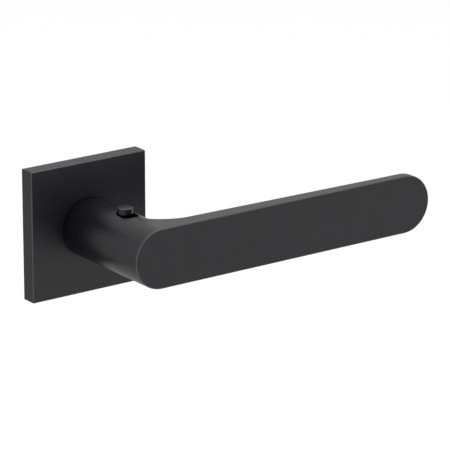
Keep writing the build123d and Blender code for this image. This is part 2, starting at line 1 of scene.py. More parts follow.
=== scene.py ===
"""Door lever handle on a square rose: its visible pieces, their finishes and the studio.

Everything is in metres in the frame's own axes: the spindle's axis is the Y axis, the door face is
y = 0, the grip points along +X and +Z is up. `front` is the distance in front of the door face, so
y = -front. The sections follow the order in which the handle is put together, from the door out.
"""

from math import cos, radians, sin, tau

import bmesh
import bpy
import numpy as np
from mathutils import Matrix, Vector


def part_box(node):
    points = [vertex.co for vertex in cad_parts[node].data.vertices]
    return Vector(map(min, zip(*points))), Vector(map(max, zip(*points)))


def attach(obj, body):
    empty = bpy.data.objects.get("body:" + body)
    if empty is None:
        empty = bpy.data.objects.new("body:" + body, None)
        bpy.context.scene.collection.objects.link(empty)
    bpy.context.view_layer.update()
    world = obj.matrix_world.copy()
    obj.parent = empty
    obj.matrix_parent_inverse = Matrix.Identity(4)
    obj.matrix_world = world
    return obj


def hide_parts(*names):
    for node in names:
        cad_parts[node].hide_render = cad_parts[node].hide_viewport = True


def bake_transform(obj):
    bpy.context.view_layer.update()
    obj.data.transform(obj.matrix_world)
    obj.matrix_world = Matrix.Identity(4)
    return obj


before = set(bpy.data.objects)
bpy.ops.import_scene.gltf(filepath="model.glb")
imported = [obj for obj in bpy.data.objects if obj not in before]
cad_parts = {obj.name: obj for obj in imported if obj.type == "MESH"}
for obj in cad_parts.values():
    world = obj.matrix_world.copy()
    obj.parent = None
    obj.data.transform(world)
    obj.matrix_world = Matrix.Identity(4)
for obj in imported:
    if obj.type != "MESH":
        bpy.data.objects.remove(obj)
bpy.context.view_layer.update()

# ==== Studio ====
# A pale floor well below the handle, a soft white surround and one large soft light overhead.
# The camera looks down at the grip's face from the front left, with a long lens.
VIEW_AZIMUTH = radians(-35.717)
VIEW_ELEVATION = radians(17.782)
VIEW_DISTANCE = 1.2986
VIEW_TARGET = Vector((0.050173, -0.0250, -0.003914))
LENS_MM = 269.33
FLOOR_DROP = 0.90
FLOOR_SIZE = 60.0
OVERHEAD_SIZE = 3.0
OVERHEAD_PLACE = (0.3, 0.6, 3.2)
OVERHEAD_AIM = (0.05, 0.6, 0.0)
OVERHEAD_POWER = 46.0
SURROUND_LOW = 0.50
SURROUND_FRONT = 0.40
SURROUND_HIGH = 0.23
HORIZON_BAND = (-0.35, 0.35)

towards_camera = Vector((
    sin(VIEW_AZIMUTH) * cos(VIEW_ELEVATION),
    -cos(VIEW_AZIMUTH) * cos(VIEW_ELEVATION),
    sin(VIEW_ELEVATION),
))
camera = bpy.data.objects.new("camera", bpy.data.cameras.new("camera"))
camera.data.lens = LENS_MM
camera.data.sensor_width = 36.0
camera.data.clip_start = 0.05
camera.data.clip_end = 100.0
camera.location = VIEW_TARGET + VIEW_DISTANCE * towards_camera
camera.rotation_euler = towards_camera.to_track_quat("Z", "Y").to_euler()
bpy.context.scene.collection.objects.link(camera)
bpy.context.scene.camera = camera
bpy.context.scene.view_settings.view_transform = "Standard"


def soft_light(name, size, place, aim, power):
    """Adds a square area light of this size at `place`, turned to shine on `aim`."""
    lamp = bpy.data.lights.new(name, "AREA")
    lamp.size = size
    lamp.energy = power
    light = bpy.data.objects.new(name, lamp)
    light.location = place
    light.rotation_euler = (Vector(place) - Vector(aim)).to_track_quat("Z", "Y").to_euler()
    bpy.context.scene.collection.objects.link(light)


soft_light("overhead_softbox", OVERHEAD_SIZE, OVERHEAD_PLACE, OVERHEAD_AIM, OVERHEAD_POWER)


class Level:
    """A number in a node tree. Arithmetic on it adds Math nodes to the tree."""

    def __init__(self, shading, socket):
        self.shading = shading
        self.socket = socket

    def _math(self, operation, first, second):
        return self.shading.node("ShaderNodeMath", {"operation": operation}, {0: first, 1: second})

    def __add__(self, other):
        return self._math("ADD", self, other)

    def __sub__(self, other):
        return self._math("SUBTRACT", self, other)

    def __rsub__(self, other):
        return self._math("SUBTRACT", other, self)

    def __mul__(self, other):
        return self._math("MULTIPLY", self, other)

    __radd__ = __add__
    __rmul__ = __mul__


class Shading:
    """A material's or a surround's node tree, with its shader and where it is shaded."""

    def __init__(self, owner, shader):
        owner.use_nodes = True
        self.tree = owner.node_tree
        self.shader = self.tree.nodes[shader]
        self.place = self.node("ShaderNodeTexCoord", {}, {}, "Object")

    def node(self, kind, settings, sockets, output=0):
        """Adds a node: its settings first, then a value or a link per socket. Gives one output."""
        made = self.tree.nodes.new(kind)
        for setting, value in settings.items():
            setattr(made, setting, value)
        for socket, value in sockets.items():
            if isinstance(value, Level):
                self.tree.links.new(value.socket, made.inputs[socket])
            else:
                made.inputs[socket].default_value = value
        return Level(self, made.outputs[output])

    def ramp(self, level, low, high):
        """Stretches a level so that `low` becomes 0 and `high` becomes 1, and clamps it."""
        sockets = {"Value": level, "From Min": low, "From Max": high}
        return self.node("ShaderNodeMapRange", {}, sockets)


def even_surround():
    """White light from all round, a little stronger from the front and from above the horizon."""
    world = bpy.data.worlds.new("studio_surround")
    surround = Shading(world, "Background")
    surround.shader.inputs["Color"].default_value = (1.0, 1.0, 1.0, 1.0)
    away = surround.node("ShaderNodeSeparateXYZ", {}, {"Vector": surround.place}, "Y")
    upward = surround.node("ShaderNodeSeparateXYZ", {}, {"Vector": surround.place}, "Z")
    front = surround.ramp(away, 1.0, -1.0)
    high = surround.ramp(upward, *HORIZON_BAND)
    strength = SURROUND_LOW + SURROUND_FRONT * front + SURROUND_HIGH * high
    surround.tree.links.new(strength.socket, surround.shader.inputs["Strength"])
    return world


bpy.context.scene.world = even_surround()


class Finish(Shading):
    """A material under construction: a Principled shader and the nodes that vary it."""

    def __init__(self, name, fixed):
        self.material = bpy.data.materials.new(name)
        super().__init__(self.material, "Principled BSDF")
        for socket, value in fixed.items():
            self.shader.inputs[socket].default_value = value

    def noise(self, size, stretch=(1.0, 1.0, 1.0), detail=2.0):
        """Smooth noise from 0 to 1. Its features have this size in metres, times the stretch."""
        scale = tuple(1.0 / (size * s) for s in stretch)
        spread = self.node("ShaderNodeMapping", {}, {"Vector": self.place, "Scale": scale})
        sockets = {"Vector": spread, "Scale": 1.0, "Detail": detail}
        return self.node("ShaderNodeTexNoise", {}, sockets)

    def mix(self, amount, first, second):
        """Blends two colours by a level from 0 to 1. A colour is three numbers or another blend."""
        start, end = [c if isinstance(c, Level) else (*c, 1) for c in (first, second)]
        sockets = {0: amount, 6: start, 7: end}
        return self.node("ShaderNodeMix", {"data_type": "RGBA"}, sockets, 2)

    def vary(self, colour=None, roughness=None, height=None, depth=0.0):
        """Links what changes over the surface. `height` runs from 0 to 1 over `depth` metres."""
        if colour:
            self.tree.links.new(colour.socket, self.shader.inputs["Base Color"])
        if roughness:
            self.tree.links.new(roughness.socket, self.shader.inputs["Roughness"])
        if height:
            sockets = {"Height": height, "Distance": depth, "Strength": 1.0}
            bump = self.node("ShaderNodeBump", {}, sockets)
            self.tree.links.new(bump.socket, self.shader.inputs["Normal"])
        return self.material


def pale_floor():
    """A satin pale grey-white studio floor with a faint mottle."""
    paint = Finish("pale_floor", {"IOR": 1.3})
    cloud = paint.noise(0.8)
    return paint.vary(
        colour=paint.mix(cloud, (0.965, 0.965, 0.965), (0.975, 0.975, 0.975)),
        roughness=0.8 + 0.1 * cloud,
    )


half = FLOOR_SIZE / 2
floor_corners = [(-half, -half, 0), (half, -half, 0), (half, half, 0), (-half, half, 0)]
floor_mesh = bpy.data.meshes.new("floor")
floor_mesh.from_pydata(floor_corners, [], [(0, 1, 2, 3)])
floor = bpy.data.objects.new("floor", floor_mesh)
floor.location.z = -FLOOR_DROP
floor_mesh.materials.append(pale_floor())
bpy.context.scene.collection.objects.link(floor)
floor.visible_glossy = False

# ==== Base plate ====
# The plate that is screwed to the door: die-cast zinc alloy, tumbled and left bare, with two lugs.
# It keeps the frame's own shape, in a copy whose loose triangles are joined so that curves shade
# smoothly.
SAME_POINT = 2e-7
NO_LENGTH = 1e-7
SHARP_DEGREES = 32.0


def cast_zinc():
    """Dull blue-grey casting skin: cloudy, finely pitted, and brighter where it was tumbled."""
    metal = Finish("cast_zinc", {"Metallic": 1.0})
    cloud = metal.noise(0.006, detail=4.0)
    pits = metal.noise(0.00035, detail=3.0)
    return metal.vary(
        colour=metal.mix(metal.ramp(cloud, 0.3, 0.7), (0.33, 0.34, 0.36), (0.46, 0.47, 0.49)),
        roughness=0.38 + 0.2 * cloud + 0.1 * pits,
        height=0.7 * pits + 0.3 * cloud,
        depth=0.00006,
    )


def fair_shape(mesh):
    """Joins coincident points, turns the faces outwards and smooths all but the sharp edges."""
    shape = bmesh.new()
    shape.from_mesh(mesh)
    bmesh.ops.remove_doubles(shape, verts=shape.verts, dist=SAME_POINT)
    bmesh.ops.dissolve_degenerate(shape, edges=shape.edges, dist=NO_LENGTH)
    bmesh.ops.recalc_face_normals(shape, faces=shape.faces)
    shape.to_mesh(mesh)
    shape.free()
    mesh.shade_smooth()
    mesh.set_sharp_from_angle(angle=radians(SHARP_DEGREES))


def finish_piece(name, mesh, body, slot, material, *nodes):
    """Makes a mesh a piece of the handle: its body, its finish and the frame's nodes it stands for.

    A piece with no body is left without a parent.
    """
    piece = bpy.data.objects.new(name, mesh)
    bpy.context.scene.collection.objects.link(piece)
    mesh.materials.clear()
    mesh.materials.append(material)
    weighted = piece.modifiers.new("even_flats", "WEIGHTED_NORMAL")
    weighted.keep_sharp = True
    if body:
        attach(piece, body)
    if nodes:
        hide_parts(*nodes)
    return piece


def smooth_copy(node, body, slot, material):
    """A joined and smoothly shaded copy of one of the frame's nodes, standing in its place."""
    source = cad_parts[node].data
    mesh = bpy.data.meshes.new(node + "_smooth")
    corners = [v.co[:] for v in source.vertices]
    mesh.from_pydata(corners, [], [f.vertices[:] for f in source.polygons])
    fair_shape(mesh)
    return finish_piece(node + "_smooth", mesh, body, slot, material, node)


zinc = cast_zinc()
smooth_copy("base_plate", "rose", "cast_zinc", zinc)

# ==== Bearing bush ====
# Black nylon ring moulded with a flange and a skirt. They show as a dark groove between rose and
# neck: the skirt fills the cover's round hole, the flange carries the neck's shoulder.


def black_nylon():
    """Moulded nylon: deep black, even, with a soft low gloss."""
    plastic = Finish("black_nylon", {"IOR": 1.53})
    cloud = plastic.noise(0.0012)
    return plastic.vary(
        colour=plastic.mix(cloud, (0.006, 0.006, 0.006), (0.010, 0.010, 0.011)),
        roughness=0.42 + 0.16 * cloud,
        height=plastic.noise(0.0002),
        depth=0.00001,
    )


def grid_faces(rows, columns, close_rows, close_columns):
    """Quads between neighbouring points of a grid, closed round on itself where asked."""
    r = np.arange(rows if close_rows else rows - 1)[:, None]
    c = np.arange(columns if close_columns else columns - 1)[None, :]
    r2 = (r + 1) % rows
    c2 = (c + 1) % columns
    return np.stack([r * columns + c, r * columns + c2, r2 * columns + c2, r2 * columns + c], -1)


def mesh_of(name, patches):
    """One mesh from patches of (points in rows and columns, their quads), faired as a whole."""
    points = np.concatenate([grid.reshape(-1, 3) for grid, _ in patches])
    sizes = np.cumsum([0] + [grid.size // 3 for grid, _ in patches])
    quads = np.concatenate([q.reshape(-1, 4) + n for (_, q), n in zip(patches, sizes)])
    mesh = bpy.data.meshes.new(name)
    mesh.from_pydata(points.tolist(), [], quads.tolist())
    fair_shape(mesh)
    return mesh


def turned(profile, sides=96):
    """A profile of (radius, front) points carried round the spindle's axis, closed on itself."""
    radius, front = np.array(profile).T[:, :, None]
    angle = np.linspace(0, tau, sides, endpoint=False)
    grid = np.stack(np.broadcast_arrays(radius * np.cos(angle), -front, radius * np.sin(angle)), -1)
    return grid, grid_faces(len(profile), sides, True, True)


def rounded_corner(outer, face, edge, steps=4):
    """A quarter circle of (radius, front) points from a ring's face round to its outer wall."""
    t = np.linspace(0, tau / 4, steps + 1)
    return np.stack([outer - edge + edge * np.sin(t), face - edge + edge * np.cos(t)], -1)


def rounded_section(inner, outer, back, face, edge):
    """A ring's cross-section from the inner to the outer radius, with rounded outer corners."""
    front_corner = rounded_corner(outer, face, edge)
    back_corner = rounded_corner(outer, -back, edge)[::-1] * (1, -1)
    return [(inner, back), (inner, face), *front_corner, *back_corner]


nylon = black_nylon()
bush_low, bush_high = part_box("bearing_bush")
RUNNING_GAP = 0.00005
COVER_WALL = 0.0011
BUSH_BODY_R = 0.0092
BUSH_FLANGE_R = 0.0102
BUSH_SKIRT_THICK = 0.0006
BUSH_EDGE = 0.0002
bush_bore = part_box("spigot")[1].x + RUNNING_GAP
flange_back = -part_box("rose_cover")[0].y - COVER_WALL
skirt_front = flange_back + BUSH_SKIRT_THICK
bush_profile = [
    (bush_bore, -bush_high.y),
    (bush_bore, -bush_low.y),
    *rounded_corner(BUSH_FLANGE_R, -bush_low.y, BUSH_EDGE),
    *rounded_section(BUSH_FLANGE_R, bush_high.x, flange_back, skirt_front, BUSH_EDGE)[1:],
    (BUSH_BODY_R, flange_back),
    (BUSH_BODY_R, -bush_high.y),
]
finish_piece(
    "nylon_bush", mesh_of("nylon_bush", [turned(bush_profile)]),
    "rose", "black_nylon", nylon, "bearing_bush",
)

# ==== Lock ring, stop pins and spring driver ====
# The ring and the pins are hardened steel, ground bright. The driver is pressed from plated plate.


def ground_steel():
    """Hard steel ground bright: fine lines across the part and a grey, slightly blurred gloss."""
    metal = Finish("ground_steel", {"Metallic": 1.0})
    lines = metal.noise(0.00012, stretch=(40.0, 1.0, 1.0))
    cloud = metal.noise(0.004)
    return metal.vary(
        colour=metal.mix(cloud, (0.42, 0.42, 0.43), (0.53, 0.53, 0.54)),
        roughness=0.24 + 0.16 * lines,
        height=lines,
        depth=0.000006,
    )


def plated_steel():
    """Zinc-plated steel: pale, with crossing scratches, cloudy passivation and dull patches."""
    metal = Finish("plated_steel", {"Metallic": 1.0})
    cloud = metal.noise(0.003, detail=4.0)
    along = metal.ramp(metal.noise(0.0002, stretch=(1.0, 60.0, 1.0)), 0.52, 0.72)
    across = metal.ramp(metal.noise(0.00025, stretch=(30.0, 1.0, 12.0)), 0.60, 0.75)
    return metal.vary(
        colour=metal.mix(cloud, (0.35, 0.36, 0.38), (0.48, 0.48, 0.48)),
        roughness=0.25 + 0.14 * cloud + 0.18 * along + 0.1 * across,
        height=0.6 * along + 0.4 * across,
        depth=0.000008,
    )


ground = ground_steel()
plated = plated_steel()
smooth_copy("lock_ring", "rose", "bright_steel", ground)
smooth_copy("stop_pins", "rose", "bright_steel", ground)
smooth_copy("spring_driver", "lever", "plated_steel", plated)

# ==== Return spring ====
# Round spring wire, oiled black, coiled round the driver's hub. One leg pushes on the driver's tab,
# the other bears on the anchor pin, so the coil twists as the lever turns.
WIRE_R = 0.0004
COIL_R = 0.01185
COIL_PITCH = 0.0009
COIL_BACK = 0.00145
COIL_BEND_R = 0.0008
LEG_END_R = 0.0137
END_CAP_SHARE = 1e-6
TAB_LEG_ANGLE = radians(232.9)
PIN_LEG_ANGLE = radians(102.3) + 2 * tau


def dark_steel():
    """Black-oxide steel under a film of oil: near black, faintly mottled, with a soft sheen."""
    metal = Finish("dark_steel", {"Metallic": 1.0})
    cloud = metal.noise(0.0015, detail=3.0)
    return metal.vary(
        colour=metal.mix(cloud, (0.045, 0.045, 0.050), (0.085, 0.083, 0.082)),
        roughness=0.30 + 0.18 * cloud,
        height=metal.noise(0.00015),
        depth=0.000006,
    )


def wire(path, radius, sides=12):
    """A round wire along a path of points that lies nearly square to the spindle's axis.

    Each point carries a circle in the plane of two directions: the path's side, which is square to
    the path and to the axis, and the direction square to both. The ends close in their middles.
    """
    along = np.gradient(path, axis=0)
    along /= np.linalg.norm(along, axis=1, keepdims=True)
    side = np.cross(along, (0.0, -1.0, 0.0))
    side /= np.linalg.norm(side, axis=1, keepdims=True)
    other = np.cross(side, along)
    angle = np.linspace(0, tau, sides, endpoint=False)[None, :, None]
    reach = np.full((len(path), 1, 1), radius)
    reach[[0, -1]] = 0.0
    grid = path[:, None] + reach * (np.cos(angle) * side[:, None] + np.sin(angle) * other[:, None])
    return grid, grid_faces(len(path), sides, False, True)


def spring_path():
    """Points of the spring's wire in polar form, turned into places.

    A leg runs in towards the coil at one angle, a quarter bend takes it round into the coil, the
    coil's depth grows evenly with its angle, and the same bend and leg follow in mirror order. The
    first and last points, where the wire closes, lie just beyond their neighbours.
    """
    bend = np.linspace(0, tau / 4, 7)
    leg_reach = np.r_[LEG_END_R, LEG_END_R, np.linspace(LEG_END_R, COIL_R + COIL_BEND_R, 4)[1:-1]]
    entry_reach = np.r_[leg_reach, COIL_R + COIL_BEND_R * (1 - np.sin(bend))]
    entry_turn = np.r_[0 * leg_reach, COIL_BEND_R / COIL_R * (1 - np.cos(bend))]
    coil_start = TAB_LEG_ANGLE + entry_turn[-1]
    coil_end = PIN_LEG_ANGLE - entry_turn[-1]
    coil_turn = np.linspace(coil_start, coil_end, 200)[1:-1]
    reach = np.r_[entry_reach, np.full(len(coil_turn), COIL_R), entry_reach[::-1]]
    turn = np.r_[TAB_LEG_ANGLE + entry_turn, coil_turn, PIN_LEG_ANGLE - entry_turn[::-1]]
    front = COIL_BACK + COIL_PITCH * (turn - TAB_LEG_ANGLE) / tau
    path = np.stack([reach * np.cos(turn), -front, reach * np.sin(turn)], -1)
    path[0] += END_CAP_SHARE * (path[0] - path[4])
    path[-1] += END_CAP_SHARE * (path[-1] - path[-5])
    return path


dark = dark_steel()
spring_wire = spring_path()
spring = finish_piece(
    "coiled_spring", mesh_of("coiled_spring", [wire(spring_wire, WIRE_R)]),
    None, "dark_steel", dark, "return_spring",
)
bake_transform(spring)

# ==== Thrust washer and circlip ====
# They hold the spigot from behind. The washer is plated, the circlip is black spring steel.
WASHER_BORE_R = 0.0081
WASHER_EDGE = 0.00012
washer_low, washer_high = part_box("thrust_washer")
washer_profile = rounded_section(
    WASHER_BORE_R, washer_high.x, -washer_high.y, -washer_low.y, WASHER_EDGE
)
finish_piece(
    "rear_washer", mesh_of("rear_washer", [turned(washer_profile)]),
    "lever", "plated_steel", plated, "thrust_washer",
)
smooth_copy("circlip", "lever", "dark_steel", dark)

# ==== Spindle, spigot and set screw ====
# The spindle is drawn 8 mm square bar, plated. The spigot is a turned steel sleeve pressed into the
# neck. The set screw clamps the bar from below.
smooth_copy("spindle", "lever", "plated_steel", plated)
smooth_copy("spigot", "lever", "bright_steel", ground)
smooth_copy("set_screw", "lever", "dark_steel", dark)

# ==== Fixing screws, their washers and the cover clips ====
# Plated wood screws with a rolled thread, and bent strips of black spring steel.
THREAD_START = -0.0073
THREAD_PITCH = 0.0018
THREAD_R = 0.002
CORE_R = 0.00145
POINT_LENGTH = 0.003
POINT_END_R = 0.00012
RIDGE_SINK = 0.00005
RIDGE_HALF_WIDTH = 0.0003
SCREW_WASHER_R = 0.0038


def screw_thread(height, steps=260):
    """The rolled thread of one fixing screw at this height: a sharp ridge wound round its core.

    The core is straight and then runs down to the point. At each angle the ridge is a triangle
    whose foot is just inside the core; its crest rises in the first turn and follows the core down.
    """
    end = -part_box("fixing_screws")[1].y
    front = np.linspace(THREAD_START, end, steps)
    angle = tau * (front - THREAD_START) / THREAD_PITCH
    into_point = np.clip((end + POINT_LENGTH - front) / POINT_LENGTH, 0, 1)
    core = CORE_R + (POINT_END_R - CORE_R) * into_point
    rise = np.clip((THREAD_START - front) / THREAD_PITCH, 0, 1) * (1 - into_point**2)
    crest = core + (THREAD_R - CORE_R) * rise
    foot = core - RIDGE_SINK
    reach = np.stack([foot, crest, foot], -1)
    depth = np.stack([front - RIDGE_HALF_WIDTH, front, front + RIDGE_HALF_WIDTH], -1)
    turn = angle[:, None]
    grid = np.stack([reach * np.cos(turn), -depth, height + reach * np.sin(turn)], -1)
    grid[[0, -1]] = grid[[0, -1]].mean(axis=1, keepdims=True)
    return grid, grid_faces(steps, 3, False, True)


smooth_copy("fixing_screws", "rose", "plated_steel", plated)
screw_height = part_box("screw_washers")[1].z - SCREW_WASHER_R
threads = mesh_of("screw_threads", [screw_thread(screw_height), screw_thread(-screw_height)])
finish_piece("screw_threads", threads, "rose", "plated_steel", plated)
smooth_copy("screw_washers", "rose", "plated_steel", plated)
smooth_copy("cover_clips", "rose", "dark_steel", dark)

# ==== Rose cover ====
# Square shell pressed from 1.1 mm metal, powder coated matt black, snapped over the base plate.


def black_coat(name, smoothness):
    """Fine matt powder coat: near black, a shallow orange peel and a grain of tiny specks.

    Where the piece's edge-highlight attribute is above 0, the edge gets a painted highlight: its
    colour is lifted to a light grey and it is made shinier, a little unevenly along its length.
    """
    coat = Finish(name, {"IOR": 1.5})
    cloud = coat.noise(0.009, detail=3.0)
    peel = coat.noise(0.0007)
    grain = coat.noise(0.00016)
    # Painted highlight: the edge attribute, varied along the edge by noise, lifts the colour to
    # light grey.
    painted_edge_highlight = coat.node("ShaderNodeAttribute", {"attribute_name": "painted_edge_highlight"}, {}, "Fac")
    edge_highlight = painted_edge_highlight * (0.55 + 0.6 * coat.noise(0.004))
    skin = coat.mix(coat.ramp(cloud, 0.3, 0.7), (0.0018, 0.0018, 0.0034), (0.0034, 0.0034, 0.0056))
    return coat.vary(
        colour=coat.mix(edge_highlight, skin, (0.075, 0.075, 0.078)),
        roughness=smoothness + 0.05 * cloud + 0.04 * grain - 0.06 * edge_highlight,
        height=0.75 * peel + 0.25 * grain,
        depth=0.000012,
    )


def paint_edge_highlight(mesh, edge, inset_and_drop):
    """Marks a rounded edge of this radius for a painted highlight, strongest in its middle.

    `inset_and_drop` gives how far points lie in from the side and down from the face. One of the
    two is zero on the side and on the face, so their product, as a share of its value at
    mid-edge, fades to nothing where the rounding ends.
    """
    places = np.empty(3 * len(mesh.vertices))
    mesh.vertices.foreach_get("co", places)
    inset, drop = inset_and_drop(*places.reshape(-1, 3).T)
    middle = (edge * (1 - cos(tau / 8))) ** 2
    painted_edge_highlight = np.clip(inset * drop / middle, 0, 1) * (drop < edge) * (inset < edge)
    mesh.attributes.new("painted_edge_highlight", "FLOAT", "POINT").data.foreach_set("value", painted_edge_highlight)


COVER_EDGE = 0.00044
COVER_CORNER = 0.00045
COVER_INNER_CORNER = 0.0008
COVER_HOLE_R = 0.0113
HOLE_EDGE = 0.00015
CLIP_GROOVE = (0.0019, 0.0035)
CLIP_GROOVE_REACH = 0.0005
CLIP_GROOVE_HALF = 0.006
NOTCH_HALF = 0.0035
NOTCH_DEPTH = 0.0008


def square_columns(side_steps=24, corner_steps=6):
    """Each column of a rounded square: its share of the straight half-sides, and its normal.

    Along a side the share runs evenly from corner to corner and the normal stays. Round a corner
    the share stays and the normal turns. Three quarter turns repeat the first side and corner.
    """
    t = np.linspace(-1, 1, side_steps + 1)
    bend = np.linspace(0, tau / 4, corner_steps + 1)[1:-1]
    side = np.stack([np.ones_like(t), t], -1)
    share = np.concatenate([side, np.ones((len(bend), 2))])
    corner = np.stack([np.cos(bend), np.sin(bend)], -1)
    normal = np.concatenate([np.tile((1.0, 0.0), (len(t), 1)), corner])
    quarter = np.array([(0.0, 1.0), (-1.0, 0.0)])
    turns = [np.linalg.matrix_power(quarter, k) for k in range(4)]
    return np.concatenate([share @ m for m in turns]), np.concatenate([normal @ m for m in turns])


def cover_skin(depth, half_side):
    """The cover as one closed surface: a profile carried round a rounded square.

    The profile goes up the outer wall, round the front edge, across the face to the round hole,
    through the hole, and back along the inside. Between the hole and the walls the columns run
    straight from the circle to the square.
    """
    share, normal = square_columns()
    ray = share / np.linalg.norm(share, axis=1, keepdims=True)

    def square(half, corner):
        return share * (half - corner) + corner * normal

    bend = np.linspace(0, tau / 4, 6)
    outer = square(half_side, COVER_CORNER)
    inner = square(half_side - COVER_WALL, COVER_INNER_CORNER)
    inside = depth - COVER_WALL
    rows = [(outer, 0.0), (outer, depth / 2)]
    for t in bend:
        inset = COVER_EDGE * (1 - cos(t))
        plan = square(half_side - inset, COVER_CORNER - inset)
        rows.append((plan, depth - COVER_EDGE * (1 - sin(t))))
    rows.append(((rows[-1][0] + ray * COVER_HOLE_R) / 2, depth))
    for t in bend:
        away = COVER_HOLE_R + HOLE_EDGE * (1 - sin(t))
        rows.append((away * ray, depth - HOLE_EDGE * (1 - cos(t))))
    rows += [(ray * COVER_HOLE_R, inside), (inner, inside), (inner, 0.0)]
    grid = np.stack([np.insert(plan, 1, -front, axis=1) for plan, front in rows])
    return grid, grid_faces(len(rows), len(share), True, True)


def prism(outline, low, high):
    """A closed prism: a convex (x, y) outline carried straight up from one height to another."""
    middle = np.broadcast_to(outline.mean(0), outline.shape)
    rings = ((middle, low), (outline, low), (outline, high), (middle, high))
    grid = np.stack([np.column_stack([ring, np.full(len(ring), z)]) for ring, z in rings])
    return grid, grid_faces(4, len(outline), False, True)


def block(x, y, z):
    """A rectangular block between these pairs of limits."""
    outline = np.array([(x[0], y[0]), (x[1], y[0]), (x[1], y[1]), (x[0], y[1])])
    return prism(outline, *z)


def cut_away(mesh, *cutters):
    """The mesh without what the closed cutters cover. Each cutter is points and their quads."""
    blank = bpy.data.objects.new("blank", mesh)
    tools = [bpy.data.objects.new("cutter", mesh_of("cutter", [cutter])) for cutter in cutters]
    for tool in (blank, *tools):
        bpy.context.scene.collection.objects.link(tool)
    for tool in tools:
        cut = blank.modifiers.new("cut", "BOOLEAN")
        cut.operation = "DIFFERENCE"
        cut.solver = "EXACT"
        cut.object = tool
    cut_blank = blank.evaluated_get(bpy.context.evaluated_depsgraph_get())
    finished = bpy.data.meshes.new_from_object(cut_blank)
    finished.name = mesh.name + "_cut"
    for tool in (blank, *tools):
        bpy.data.objects.remove(tool)
    fair_shape(finished)
    return finished


still_coat = black_coat("black_coat", 0.34)
cover_low, cover_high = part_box("rose_cover")
half_cover = cover_high.x
groove_reach = half_cover - COVER_WALL + CLIP_GROOVE_REACH
clip_grooves = block(
    (-groove_reach, groove_reach),
    (-CLIP_GROOVE[1], -CLIP_GROOVE[0]),
    (-CLIP_GROOVE_HALF, CLIP_GROOVE_HALF),
)
pry_notch = block(
    (-NOTCH_HALF, NOTCH_HALF),
    (-NOTCH_DEPTH, NOTCH_DEPTH),
    (-1.1 * half_cover, -half_cover + 1.5 * COVER_WALL),
)
cover_depth = -cover_low.y
cover = mesh_of("square_cover", [cover_skin(cover_depth, half_cover)])
cover = cut_away(cover, clip_grooves, pry_notch)
# A painted highlight along the cover's rounded front edges.
paint_edge_highlight(cover, COVER_EDGE, lambda x, y, z: (
    half_cover - np.maximum(abs(x), abs(z)),
    cover_depth + y,
))
finish_piece("square_cover", cover, "rose", "black_coat", still_coat, "rose_cover")

# ==== Lever handle ====
# Grip, flare and neck are one die casting, bored for the spigot and powder coated like the rose.
# The slot for the thumb button and the hole for the set screw are cut into the skin. Hands keep
# the coat a little smoother here. The rim of the grip's face carries a painted highlight.
THICK_AT_AXIS = 0.0076
THICK_AT_END = 0.0040
FLARE_R = 0.0085
GRIP_EDGE = 0.0005
BACK_EDGE = 0.0003
NECK_EDGE = 0.0003
BORE_FRONT = 0.040
BACK_EDGE_FADE_SQUARED = 1.38e-5
STEM_SLOT_R = 0.0016


